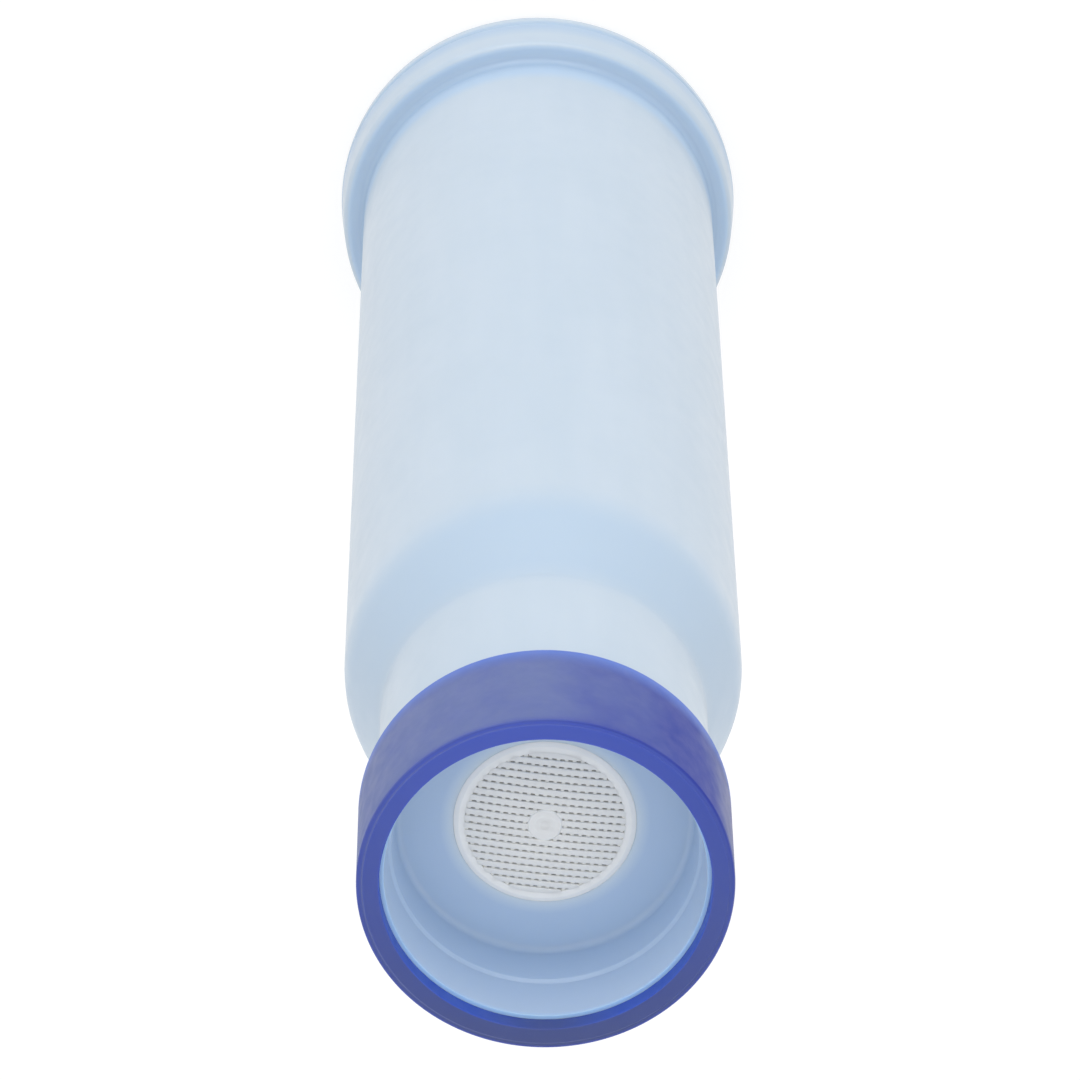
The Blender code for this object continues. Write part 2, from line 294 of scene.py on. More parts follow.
def turned(corners, turns=TURNS):
    """A solid of revolution about +Z, spun from a closed outline of (radius, height) corners."""
    shape = bmesh.new()
    ring = [shape.verts.new((point.x, 0.0, point.y)) for point in rounded(corners)]
    edges = [shape.edges.new((ring[i - 1], ring[i])) for i in range(len(ring))]
    bmesh.ops.spin(
        shape,
        geom=ring + edges,
        cent=(0, 0, 0),
        axis=(0, 0, 1),
        angle=2 * math.pi,
        steps=turns,
        use_merge=True,
    )
    bmesh.ops.remove_doubles(shape, verts=shape.verts[:], dist=MERGE_DISTANCE)
    on_axis = [e for e in shape.edges if max(v.co.xy.length for v in e.verts) < MERGE_DISTANCE]
    bmesh.ops.delete(shape, geom=on_axis, context="EDGES")
    bmesh.ops.recalc_face_normals(shape, faces=shape.faces[:])
    return shape


def piece(name, shape, finish, node=None):
    """Puts a finished shape into the scene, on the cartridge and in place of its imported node."""
    mesh = bpy.data.meshes.new(name)
    shape.to_mesh(mesh)
    shape.free()
    mesh.shade_smooth()
    mesh.set_sharp_from_angle(angle=SHARP_ANGLE)
    mesh.materials.append(finish)
    made = bpy.data.objects.new(name, mesh)
    bpy.context.scene.collection.objects.link(made)
    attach(made, "root")
    if node:
        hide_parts(node)
    return made


def put(tree, kind, sockets=None, **settings):
    """A new node of any kind, with its settings and the values or links of its sockets."""
    made = tree.nodes.new(kind)
    for name, value in settings.items():
        setattr(made, name, value)
    for name, value in (sockets or {}).items():
        if isinstance(value, bpy.types.NodeSocket):
            tree.links.new(value, made.inputs[name])
        else:
            made.inputs[name].default_value = value
    return made


def place(tree, kind, sockets=None, **settings):
    """A new shader node, named without the words that all shader nodes share."""
    return put(tree, "ShaderNode" + kind, sockets, **settings)


def calculate(tree, operation, first, second=0.0):
    """The result of one operation on two values."""
    return place(tree, "Math", {0: first, 1: second}, operation=operation).outputs[0]


def product(tree, first, *others):
    """All these values multiplied."""
    for other in others:
        first = calculate(tree, "MULTIPLY", first, other)
    return first


def spread(tree, value, low, high, to_low, to_high):
    """The value's range from low to high, taken to another range."""
    sockets = {
        "Value": value,
        "From Min": low,
        "From Max": high,
        "To Min": to_low,
        "To Max": to_high,
    }
    return place(tree, "MapRange", sockets).outputs["Result"]


def zone(tree, value, rise, fall):
    """1 from the end of the rise to the start of the fall, and 0 before and after the two."""
    risen = spread(tree, value, *rise, 0.0, 1.0)
    not_fallen = spread(tree, value, *fall, 1.0, 0.0)
    return product(tree, risen, not_fallen)


def noise(tree, where, scale, detail, roughness=0.5):
    """Soft random values about 0.5, with features of about 1 / scale."""
    sockets = {"Vector": where, "Scale": scale, "Detail": detail, "Roughness": roughness}
    return place(tree, "TexNoise", sockets).outputs["Fac"]


def patchy(tree, where, scale, detail, low, high, roughness=0.5):
    """Soft random values from low to high, with features of about 1 / scale."""
    value = noise(tree, where, scale, detail, roughness)
    return spread(tree, value, NOISE_LOW, NOISE_HIGH, low, high)


def blend_colours(tree, factor, first, second):
    """The first colour, blended into the second by a factor from 0 to 1."""
    mixed = place(tree, "Mix", data_type="RGBA")
    for index, value in ((0, factor), (6, first), (7, second)):
        if isinstance(value, bpy.types.NodeSocket):
            tree.links.new(value, mixed.inputs[index])
        elif index:
            mixed.inputs[index].default_value = (*value, 1.0)
        else:
            mixed.inputs[index].default_value = value
    return mixed.outputs[2]


def position(tree):
    """The place of a surface point in the cartridge's frame, and its X, Y and Z."""
    where = place(tree, "TexCoord").outputs["Object"]
    return where, place(tree, "SeparateXYZ", {"Vector": where}).outputs


def radius_from(tree, parts):
    """The distance from the cartridge's axis, from the X and Y of a place."""
    squares = [product(tree, parts[axis], parts[axis]) for axis in ("X", "Y")]
    return calculate(tree, "SQRT", calculate(tree, "ADD", *squares))


def new_finish(name, **surface_values):
    """A material with its tree and its Principled surface set to these values."""
    made = bpy.data.materials.new(name)
    made.use_nodes = True
    surface = made.node_tree.nodes["Principled BSDF"]
    for socket, value in surface_values.items():
        title = socket.replace("_", " ").title().replace("Ior", "IOR")
        surface.inputs[title].default_value = value
    return made, made.node_tree, surface


def add_relief(tree, surface, height, strength, distance):
    """Shades a surface as if it had this relief."""
    sockets = {"Strength": strength, "Distance": distance, "Height": height}
    bump = place(tree, "Bump", sockets)
    tree.links.new(bump.outputs[0], surface.inputs["Normal"])


def socket_light_and_shade(tree, parts, radius):
    """The socket's share of a place, and its painted light and shade there.

    Painted light stands for the seal's blue let through the thin wall and bounced inside, most at
    the mouth, with a painted glow on its edge and painted shade on the rear and one side. A painted
    glow round the strainer makes it paler.
    """
    back = SOCKET_FLOOR - 2 * MM
    inside = spread(tree, radius, NECK_RADIUS - 0.4 * MM, NECK_RADIUS - 0.6 * MM, 0.0, 1.0)
    above_floor = spread(tree, parts["Z"], back, SOCKET_FLOOR - 0.5 * MM, 0.0, 1.0)
    near_mouth = spread(tree, parts["Z"], back, NECK_END, 0.0, 1.0)
    # Painted shade on the rear wall and one side wall
    rear_wall_shade = spread(tree, parts["Y"], 0.2 * NECK_RADIUS, 0.85 * NECK_RADIUS, 0.0, 1.0)
    side_wall_shade = spread(tree, parts["X"], -0.6 * NECK_RADIUS, -0.95 * NECK_RADIUS, 0.0, 0.8)
    less_lit = calculate(tree, "MAXIMUM", rear_wall_shade, side_wall_shade)
    # Painted light on the walls and floor, brighter towards the mouth
    wall = blend_colours(tree, less_lit, BLUE_SOCKET_WALL_PAINTED_LIGHT, BLUE_SOCKET_WALL_PAINTED_SHADE)
    colour = blend_colours(tree, near_mouth, BLUE_SOCKET_FLOOR_PAINTED_LIGHT, wall)
    # Painted glow on the mouth's edge
    edge = spread(tree, radius, MOUTH_RADIUS - 0.03 * MM, MOUTH_RADIUS + 0.03 * MM, 0.0, 1.0)
    colour = blend_colours(tree, edge, colour, BLUE_MOUTH_EDGE_PAINTED_GLOW)
    # Painted glow round the strainer
    beside_strainer = spread(tree, radius, STRAINER_RADIUS, STRAINER_RADIUS + 1.3 * MM, 0.9, 0.0)
    colour = blend_colours(tree, beside_strainer, colour, BLUE_PAINTED_GLOW_BESIDE_STRAINER)
    return product(tree, inside, above_floor), colour


def light_blue_polypropylene():
    """Milky blue moulding: faint streaks along the melt's flow, a fine grain and rubbed patches.

    It has painted shade at the flange's root and on the shoulder, darker painted shade in the crease
    on the flange and in the joint with the cap, and painted light and shade in the socket.
    """
    made, tree, surface = new_finish(
        "light blue polypropylene",
        subsurface_weight=0.35,
        subsurface_radius=(0.9, 1.0, 1.2),
        subsurface_scale=0.0012,
        specular_ior_level=0.7,
        ior=1.49,
        coat_weight=0.15,
        coat_roughness=0.18,
    )
    where, parts = position(tree)
    along = place(tree, "Mapping", {"Vector": where, "Scale": (1.0, 1.0, 0.1)}).outputs[0]
    mottle = product(tree, noise(tree, along, 260.0, 3.0), noise(tree, where, 70.0, 2.0))
    pale = spread(tree, mottle, 0.1, 0.42, 0.0, 1.0)
    colour = blend_colours(tree, pale, BLUE_DEEP, BLUE_PALE)
    # Painted shade at the flange's root, in its crease, in the joint with the cap and on the shoulder
    for painted_shade_colour, rise_at, rise, fall_at, fall in (
        (BLUE_ROOT_PAINTED_SHADE, FLANGE_FACE, (-0.2, -0.05), FLANGE_FACE, (3.0, 4.8)),
        (BLUE_CREASE_PAINTED_SHADE, FLANGE_FACE, (0.0, 0.15), FLANGE_FACE, (0.5, 2.2)),
        (BLUE_JOINT_PAINTED_SHADE, CAP_RIM, (-1.2, -0.2), CAP_RIM, (0.7, 2.5)),
        (BLUE_SHOULDER_PAINTED_SHADE, BODY_TOP, (-4.5, 1.0), NECK_FOOT, (-1.5, 1.5)),
    ):
        rise = [rise_at + offset * MM for offset in rise]
        fall = [fall_at + offset * MM for offset in fall]
        colour = blend_colours(tree, zone(tree, parts["Z"], rise, fall), colour, painted_shade_colour)
    in_socket, socket_painted_colour = socket_light_and_shade(tree, parts, radius_from(tree, parts))
    colour = blend_colours(tree, in_socket, colour, socket_painted_colour)
    tree.links.new(colour, surface.inputs["Base Color"])
    rubbed = patchy(tree, where, 420.0, 4.0, low=0.29, high=0.4, roughness=0.6)
    tree.links.new(rubbed, surface.inputs["Roughness"])
    grain = noise(tree, where, 3000.0, 2.0)
    add_relief(tree, surface, grain, strength=0.1, distance=0.012 * MM)
    return made


def seal_bloom_and_sheen(tree, where, parts, radius):
    """The worn share of the seal, the share that bloom and painted sheen cover, and their colour.

    Bloom with a painted sheen lies dull and blotchy on the outer side, and a paler painted sheen on
    the far side. The edges and one much handled side have lost it.
    """
    outer = spread(tree, radius, SEAL_RADIUS - 0.15 * MM, SEAL_RADIUS - 0.03 * MM, 0.0, 1.0)
    off_rear = spread(tree, parts["Z"], REAR_EDGE_START, REAR_EDGE_END, 0.2, 1.0)
    off_front = spread(tree, parts["Z"], SEAL_HIGH.z, SEAL_HIGH.z - 0.8 * MM, 0.3, 1.0)
    wander = patchy(tree, where, 110.0, 2.0, low=-1.5 * MM, high=1.5 * MM)
    towards_wear = place(tree, "VectorMath", {0: where, 1: WORN_SIDE}, operation="DOT_PRODUCT")
    reach = calculate(tree, "ADD", towards_wear.outputs["Value"], wander)
    unworn = spread(tree, reach, 0.62 * SEAL_RADIUS, 1.0 * SEAL_RADIUS, 1.0, 0.0)
    blotches = patchy(tree, where, 230.0, 3.0, low=0.72, high=1.0, roughness=0.55)
    specks = patchy(tree, where, 900.0, 2.0, low=0.9, high=1.0)
    # Bloom with a painted sheen on the outer side
    bloom_and_sheen = product(tree, outer, blotches, unworn, specks, off_rear, off_front)
    # Paler painted sheen on the far side
    towards_far = calculate(tree, "ADD", parts["X"], wander)
    far = spread(tree, towards_far, -0.80 * SEAL_RADIUS, -1.02 * SEAL_RADIUS, 0.0, 0.85)
    far = product(tree, outer, off_rear, far)
    bloom_and_sheen_colour = blend_colours(tree, far, RUBBER_BLOOM_AND_SHEEN, RUBBER_FAR_PAINTED_SHEEN)
    worn = calculate(tree, "SUBTRACT", 1.0, unworn)
    return worn, calculate(tree, "MAXIMUM", bloom_and_sheen, far), bloom_and_sheen_colour


def dark_blue_rubber():
    """Deep blue rubber under bloom with painted sheen, painted glow at its thin rear edge and bore.

    The front face has a painted glow on the mouth's lit side and painted shade on its rear side,
    and its raised band has a painted highlight.
    """
    made, tree, surface = new_finish(
        "dark blue rubber",
        subsurface_weight=0.6,
        subsurface_radius=(0.3, 0.4, 1.0),
        subsurface_scale=0.0009,
        ior=1.45,
    )
    where, parts = position(tree)
    radius = radius_from(tree, parts)
    worn, bloom_and_sheen, bloom_and_sheen_colour = seal_bloom_and_sheen(tree, where, parts, radius)
    lively = patchy(tree, where, 330.0, 3.0, low=0.0, high=1.0)
    rubber = blend_colours(tree, lively, RUBBER_DEEP, RUBBER_LIVELY)
    rubber = blend_colours(tree, worn, rubber, RUBBER_WORN)

    # Painted glow on the face's lit side, fading to painted shade on the rear side
    painted_toward_rear = spread(tree, parts["Y"], -SEAL_RADIUS, SEAL_RADIUS, 0.0, 1.0)
    face = blend_colours(tree, painted_toward_rear, RUBBER_FACE_PAINTED_GLOW, RUBBER_FACE_PAINTED_SHADE)
    face = blend_colours(tree, 0.2, face, rubber)
    on_face = spread(tree, radius, SEAL_RADIUS - 0.3 * MM, SEAL_RADIUS - 0.1 * MM, 1.0, 0.0)
    rubber = blend_colours(tree, on_face, rubber, face)

    # Painted highlight along the raised band, strongest on one side
    past_band = calculate(tree, "SUBTRACT", radius, SEAL_RADIUS - SEAL_BAND_WIDTH)
    off_band = calculate(tree, "ABSOLUTE", past_band)
    on_band = spread(tree, off_band, 0.04 * MM, 0.12 * MM, 1.0, 0.0)
    most_highlighted = spread(tree, parts["X"], -0.4 * SEAL_RADIUS, 0.8 * SEAL_RADIUS, 0.05, 0.5)
    rubber = blend_colours(tree, product(tree, on_band, most_highlighted), rubber, RUBBER_BAND_PAINTED_HIGHLIGHT)

    # Painted glow in the bore, most at the sides
    bore = SEAL_BORE_RADIUS
    in_bore = spread(tree, radius, bore + 0.02 * MM, bore + 0.1 * MM, 1.0, 0.0)
    off_middle = calculate(tree, "ABSOLUTE", parts["X"])
    at_sides = spread(tree, off_middle, 1.0 * MM, 7.0 * MM, 0.1, 1.0)
    rubber = blend_colours(tree, product(tree, in_bore, at_sides), rubber, RUBBER_BORE_PAINTED_GLOW)

    # Painted glow at the thin rear edge
    rear_edge_glow = spread(tree, parts["Z"], REAR_EDGE_START, REAR_EDGE_END, 1.0, 0.0)
    rubber = blend_colours(tree, rear_edge_glow, rubber, RUBBER_REAR_EDGE_PAINTED_GLOW)
    tree.links.new(blend_colours(tree, bloom_and_sheen, rubber, bloom_and_sheen_colour), surface.inputs["Base Color"])
    dull = patchy(tree, where, 600.0, 3.0, low=0.46, high=0.6)
    tree.links.new(dull, surface.inputs["Roughness"])
    grain = noise(tree, where, 3800.0, 3.0)
    add_relief(tree, surface, grain, strength=0.3, distance=0.02 * MM)
    return made


def white_polypropylene(name, face, inward):
    """Slightly translucent white moulding of a strainer, whose bars are greyer than the rest.

    Painted shade darkens it down in its gaps, on one side. inward is -1 or 1 along Z.
    """
    made, tree, surface = new_finish(
        name,
        subsurface_weight=0.2,
        subsurface_radius=(1.0, 1.0, 1.0),
        subsurface_scale=0.0005,
        ior=1.49,
    )
    where, parts = position(tree)
    bright = patchy(tree, where, 520.0, 3.0, low=0.0, high=1.0)
    colour = blend_colours(tree, bright, WHITE_DULL, WHITE_BRIGHT)

    outwards = calculate(tree, "DIVIDE", radius_from(tree, parts), GRILLE_RADIUS)
    inside_rim = spread(tree, outwards, 1.005, 1.015, 1.0, 0.0)
    gate = GATE_RADIUS / GRILLE_RADIUS
    outside_gate = spread(tree, outwards, gate, 1.05 * gate, 0.0, 0.6)
    colour = blend_colours(tree, product(tree, inside_rim, outside_gate), colour, WHITE_BARS)

    top = face - inward * (STRAINER_PROUD + GRILLE_CROWN)
    back = top + inward * STRAINER_THICKNESS
    below_top = spread(tree, parts["Z"], top, back, 0.0, STRAINER_THICKNESS)
    fall = product(tree, outwards, outwards, GRILLE_CROWN)
    sunk = calculate(tree, "SUBTRACT", below_top, fall)
    # Painted shade down in the gaps, on one side
    in_gaps = spread(tree, sunk, *GAP_SHADE_DEPTHS, 0.0, 1.0)
    on_shaded_side = spread(tree, parts["Y"], *GAP_SHADE_FADE, 1.0, 0.0)
    gap_shade = product(tree, in_gaps, inside_rim, on_shaded_side)
    colour = blend_colours(tree, gap_shade, colour, GAP_PAINTED_SHADE)
    tree.links.new(colour, surface.inputs["Base Color"])
    dull = patchy(tree, where, 1500.0, 2.0, low=0.36, high=0.5)
    tree.links.new(dull, surface.inputs["Roughness"])
    grain = noise(tree, where, 6500.0, 2.0)
    add_relief(tree, surface, grain, strength=0.2, distance=0.01 * MM)
    return made


def mixed_granules():
    """Amber resin beads among black carbon grains, with painted light on one side near the outlet."""
    made, tree, surface = new_finish("mixed granules", ior=1.5)
    where, parts = position(tree)
    beads = place(tree, "TexVoronoi", {"Vector": where, "Scale": GRANULES_PER_METRE})
    pick = place(tree, "SeparateColor", {"Color": beads.outputs["Color"]}).outputs[0]
    carbon = spread(tree, pick, *CARBON_SHARE, 0.0, 1.0)
    pale = patchy(tree, where, 2600.0, 2.0, low=0.0, high=1.0)
    resin = blend_colours(tree, pale, RESIN_DARK, RESIN_PALE)
    colour = blend_colours(tree, carbon, resin, CARBON)
    # Painted light on one side near the outlet
    painted_light_side = spread(tree, parts["Y"], *PAINTED_LIGHT_FADE, 0.0, 0.92)
    near_outlet = spread(tree, parts["Z"], *PAINTED_LIGHT_HEIGHTS, 0.0, 1.0)
    painted_toward_rear = product(tree, painted_light_side, near_outlet)
    colour = blend_colours(tree, painted_toward_rear, colour, GRANULES_PAINTED_LIGHT)
    tree.links.new(colour, surface.inputs["Base Color"])
    dull = spread(tree, carbon, 0.0, 1.0, 0.3, 0.75)
    tree.links.new(dull, surface.inputs["Roughness"])
    domes = spread(tree, beads.outputs["Distance"], 0.0, 0.6, 1.0, 0.0)
    add_relief(tree, surface, domes, strength=0.9, distance=0.2 * MM)
    return made


def strainer_seat(face, inward):
    """The stepped seat of a strainer, from its outer edge to its hub. inward is -1 or 1 along Z."""
    ledge = face + inward * SEAT_DEPTH
    hub_end = face + inward * (SEAT_DEPTH + SEAT_LEDGE_WALL)
    return [
        (SEAT_RADIUS, face, SEAT_EDGE_ROUND),
        (SEAT_RADIUS, ledge),
        (SEAT_HOLE_RADIUS, ledge),
        (SEAT_HOLE_RADIUS, hub_end),
        (SEAT_HUB_RADIUS, hub_end),
    ]


def chamber_radius_at(height):
    """The tapered body's inner radius at a height."""
    share = (BODY_TOP - height) / (BODY_TOP - FLANGE_FACE)
    return BODY_TOP_RADIUS - BODY_WALL + BODY_TAPER * share


def moulded_housing(plastic):
    """Flange, tapered body, shoulder, neck, and the socket with its strainer's seat."""
    flange_back = CAP_RIM + JOINT
    floor_back = SOCKET_FLOOR - FLOOR_WALL
    step = NECK_END - MOUTH_DEPTH
    outside = [
        (FLANGE_BACK_RADIUS, flange_back, FLANGE_BACK_ROUND),
        (FLANGE_BACK_RADIUS - FLANGE_TAPER, FLANGE_FACE, FLANGE_EDGE_ROUND),
        (BODY_FOOT_RADIUS, FLANGE_FACE, FLANGE_FILLET),
        (BODY_TOP_RADIUS, BODY_TOP, SHOULDER_ROUND),
        (NECK_RADIUS, NECK_FOOT, SHOULDER_FILLET),
        (NECK_RADIUS, NECK_END, MOUTH_ROUND),
    ]
    socket = [
        (MOUTH_RADIUS, NECK_END, MOUTH_ROUND),
        (MOUTH_RADIUS - MOUTH_TAPER, step + STEP_HEIGHT, STEP_ROUND),
        (SOCKET_RADIUS, step, STEP_ROUND),
        (SOCKET_RADIUS - SOCKET_TAPER, SOCKET_FLOOR, SOCKET_FILLET),
    ]
    chamber = [
        (SEAT_HUB_RADIUS, floor_back),
        (SOCKET_RADIUS, floor_back, SOCKET_FILLET),
        (SOCKET_RADIUS, NECK_FOOT, SHOULDER_FILLET),
        (BODY_TOP_RADIUS - BODY_WALL, BODY_TOP, SHOULDER_ROUND),
        (chamber_radius_at(flange_back), flange_back),
    ]
    shape = turned(outside + socket + strainer_seat(SOCKET_FLOOR, -1) + chamber)
    return piece("moulded_housing", shape, plastic, "housing")


def closing_cap(plastic):
    """The cap that closes the housing: foot, rim, spigot, and the other strainer's seat."""
    spigot_outside = chamber_radius_at(CAP_HIGH.z) - SPIGOT_CLEARANCE
    spigot_inside = spigot_outside - SPIGOT_WALL
    foot_inside = CAP_RADIUS - FOOT_WIDTH
    plate_inside = FOOT_HEIGHT + CAP_PLATE
    plate = [
        (SEAT_HUB_RADIUS, plate_inside),
        (spigot_inside, plate_inside),
        (spigot_inside, CAP_HIGH.z),
        (spigot_outside - SPIGOT_LEAD_IN, CAP_HIGH.z),
        (spigot_outside, CAP_HIGH.z - SPIGOT_LEAD_IN),
        (spigot_outside, CAP_RIM),
        (CAP_RADIUS, CAP_RIM, CAP_RIM_ROUND),
        (CAP_RADIUS - CAP_DRAFT, CAP_LOW.z, CAP_EDGE_ROUND),
        (foot_inside, CAP_LOW.z, FOOT_ROUND),
        (foot_inside - FOOT_HEIGHT, FOOT_HEIGHT, FOOT_ROUND),
    ]
    shape = turned(strainer_seat(FOOT_HEIGHT, 1) + plate)
    return piece("closing_cap", shape, plastic, "end_cap")


def sleeve_seal(rubber):
    """The long rubber sleeve on the neck, with a lip over the neck's end and a band on its face."""
    inside = NECK_RADIUS + JOINT
    bore = SEAL_BORE_RADIUS
    band = SEAL_RADIUS - SEAL_BAND_WIDTH
    face = SEAL_HIGH.z
    low_face = face - SEAL_BAND_HEIGHT
    shape = turned(
        [
            (SEAL_RADIUS + SEAL_FLARE, SEAL_LOW.z, SEAL_REAR_ROUND),
            (SEAL_RADIUS, low_face, SEAL_FRONT_ROUND),
            (band, low_face, SEAL_BAND_HEIGHT),
            (band - SEAL_BAND_HEIGHT, face, SEAL_BAND_HEIGHT),
            (bore, face, SEAL_BORE_ROUND),
            (bore, NECK_END + JOINT),
            (inside, NECK_END + JOINT),
            (inside, SEAL_LOW.z, SEAL_BORE_ROUND),
        ]
    )
    return piece("sleeve_seal", shape, rubber, "seal_ring")


def bar_grid_tree(finish):
    """Geometry nodes for parallel bars with rounded edges, each as long as a circle's chord there.

    The crown is how far the grid's edge lies below its middle.
    """
    tree = bpy.data.node_groups.new("bar grid", "GeometryNodeTree")
    tree.interface.new_socket("Rows", in_out="INPUT", socket_type="NodeSocketInt")
    for name in ("Pitch", "Width", "Depth", "Round", "Radius", "Crown"):
        tree.interface.new_socket(name, in_out="INPUT", socket_type="NodeSocketFloat")
    tree.interface.new_socket("Bars", in_out="OUTPUT", socket_type="NodeSocketGeometry")
    sizes = put(tree, "NodeGroupInput").outputs

    spaces = calculate(tree, "SUBTRACT", sizes["Rows"], 1.0)
    first_row = product(tree, spaces, sizes["Pitch"], -0.5)
    start = place(tree, "CombineXYZ", {"Y": first_row}).outputs[0]
    offset = place(tree, "CombineXYZ", {"Y": sizes["Pitch"]}).outputs[0]
    row_sockets = {"Count": sizes["Rows"], "Start Location": start, "Offset": offset}
    rows = put(tree, "GeometryNodeMeshLine", row_sockets)

    ends = {"Start": (-1.0, 0.0, 0.0), "End": (1.0, 0.0, 0.0)}
    axis = put(tree, "GeometryNodeCurvePrimitiveLine", ends).outputs[0]
    axis = put(tree, "GeometryNodeResampleCurve", {"Curve": axis, "Count": BAR_POINTS}).outputs[0]
    measures = {"Width": sizes["Width"], "Height": sizes["Depth"]}
    section = put(tree, "GeometryNodeCurvePrimitiveQuadrilateral", measures).outputs[0]
    rounding = {"Curve": section, "Radius": sizes["Round"], "Count": BAR_ROUND_POINTS}
    section = put(tree, "GeometryNodeFilletCurve", rounding, mode="POLY").outputs[0]
    curves = {"Curve": axis, "Profile Curve": section, "Fill Caps": True}
    bar = put(tree, "GeometryNodeCurveToMesh", curves).outputs[0]

    here = put(tree, "GeometryNodeInputPosition").outputs[0]
    across = place(tree, "SeparateXYZ", {0: here}).outputs
    radius_squared = product(tree, sizes["Radius"], sizes["Radius"])
    row_squared = product(tree, across["Y"], across["Y"])
    chord_squared = calculate(tree, "SUBTRACT", radius_squared, row_squared)
    half_chord = calculate(tree, "SQRT", calculate(tree, "MAXIMUM", chord_squared))
    stretch = place(tree, "CombineXYZ", {"X": half_chord, "Y": 1.0, "Z": 1.0}).outputs[0]
    on_rows = {"Points": rows.outputs[0], "Instance": bar, "Scale": stretch}
    copies = put(tree, "GeometryNodeInstanceOnPoints", on_rows)
    solid = put(tree, "GeometryNodeRealizeInstances", {"Geometry": copies.outputs[0]})

    distance_squared = calculate(tree, "ADD", row_squared, product(tree, across["X"], across["X"]))
    share = calculate(tree, "DIVIDE", distance_squared, radius_squared)
    lowered = place(tree, "CombineXYZ", {"Z": product(tree, share, sizes["Crown"], -1.0)}).outputs[0]
    crowned = put(tree, "GeometryNodeSetPosition", {"Geometry": solid.outputs[0], "Offset": lowered})
    painted = {"Geometry": crowned.outputs[0], "Material": finish}
    dressed = put(tree, "GeometryNodeSetMaterial", painted)
    put(tree, "NodeGroupOutput", {"Bars": dressed.outputs[0]})
    return tree


def from_nodes(tree, **values):
    """The plain mesh that a geometry node tree makes from these named inputs."""
    holder = bpy.data.objects.new("holder", bpy.data.meshes.new("holder"))
    bpy.context.scene.collection.objects.link(holder)
    modifier = holder.modifiers.new("nodes", "NODES")
    modifier.node_group = tree
    for item in tree.interface.items_tree:
        if item.in_out == "INPUT":
            modifier[item.identifier] = values[item.name.lower()]
    depsgraph = bpy.context.evaluated_depsgraph_get()
    mesh = bpy.data.meshes.new_from_object(holder.evaluated_get(depsgraph))
    bpy.data.objects.remove(holder)
    return mesh


def strainer_shape(plastic):
    """A strainer with its front face up at height 0: rim, gate pad, front bars and rear bars."""
    shape = turned(
        [
            (GRILLE_RADIUS, 0, BAR_ROUND),
            (STRAINER_RADIUS - STRAINER_EDGE_SLOPE, 0, STRAINER_EDGE_ROUND),
            (STRAINER_RADIUS, -STRAINER_PROUD),
            (STRAINER_RADIUS, -STRAINER_THICKNESS, BAR_ROUND),
            (GRILLE_RADIUS, -STRAINER_THICKNESS),
        ],
        STRAINER_TURNS,
    )
    bars_back = GRILLE_CROWN - REAR_BAR_DROP - REAR_BAR_DEPTH
    gate_top = GRILLE_CROWN + GATE_PROUD
    gate = turned(
        [
            (0, gate_top - GATE_DIMPLE_DEPTH),
            (0.5 * GATE_DIMPLE_RADIUS, gate_top - GATE_DIMPLE_DEPTH, GATE_ROUND),
            (GATE_DIMPLE_RADIUS, gate_top, GATE_ROUND),
            (GATE_RADIUS, gate_top, GATE_ROUND),
            (GATE_RADIUS, bars_back),
            (0, bars_back),
        ],
        GATE_TURNS,
    )
    tree = bar_grid_tree(plastic)
    shared = {
        "rows": GRILLE_ROWS,
        "pitch": GRILLE_PITCH,
        "round": BAR_ROUND,
        "radius": GRILLE_RADIUS + 2 * BAR_ROUND,
        "crown": GRILLE_CROWN,
    }
    front = from_nodes(tree, width=GRILLE_PITCH - GRILLE_GAP, depth=FRONT_BAR_DEPTH, **shared)
    front.transform(Matrix.Translation((0, 0, GRILLE_CROWN - FRONT_BAR_DEPTH / 2)))
    rear = from_nodes(tree, width=REAR_BAR_WIDTH, depth=REAR_BAR_DEPTH, **shared)
    lowered = Matrix.Translation((0, 0, bars_back + REAR_BAR_DEPTH / 2))
    rear.transform(lowered @ Matrix.Rotation(math.radians(90), 4, "Z"))
    gate_mesh = bpy.data.meshes.new("gate")
    gate.to_mesh(gate_mesh)
    gate.free()
    for part in (gate_mesh, front, rear):
        shape.from_mesh(part)
    return shape


def strainer(name, node, face, inward):
    """Places a strainer in its seat, proud of the face round it. inward is -1 or 1 along Z."""
    plastic = white_polypropylene("white polypropylene of " + name, face, inward)
    shape = strainer_shape(plastic)
    turned_over = Matrix.Rotation(math.pi if inward > 0 else 0.0, 4, "X")
    turn = Matrix.Rotation(inward * STRAINER_TURN, 4, "Z")
    shape.transform(Matrix.Translation((0, 0, face - inward * STRAINER_PROUD)) @ turn @ turned_over)
    return piece(name, shape, plastic, node)


def shown(tree):
    """1 for rays that show the surround in the picture or in a reflection, 0 for its soft light."""
    ray = place(tree, "LightPath").outputs
    direct = calculate(tree, "MAXIMUM", ray["Is Camera Ray"], ray["Is Glossy Ray"])
    return calculate(tree, "MAXIMUM", direct, ray["Is Transmission Ray"])


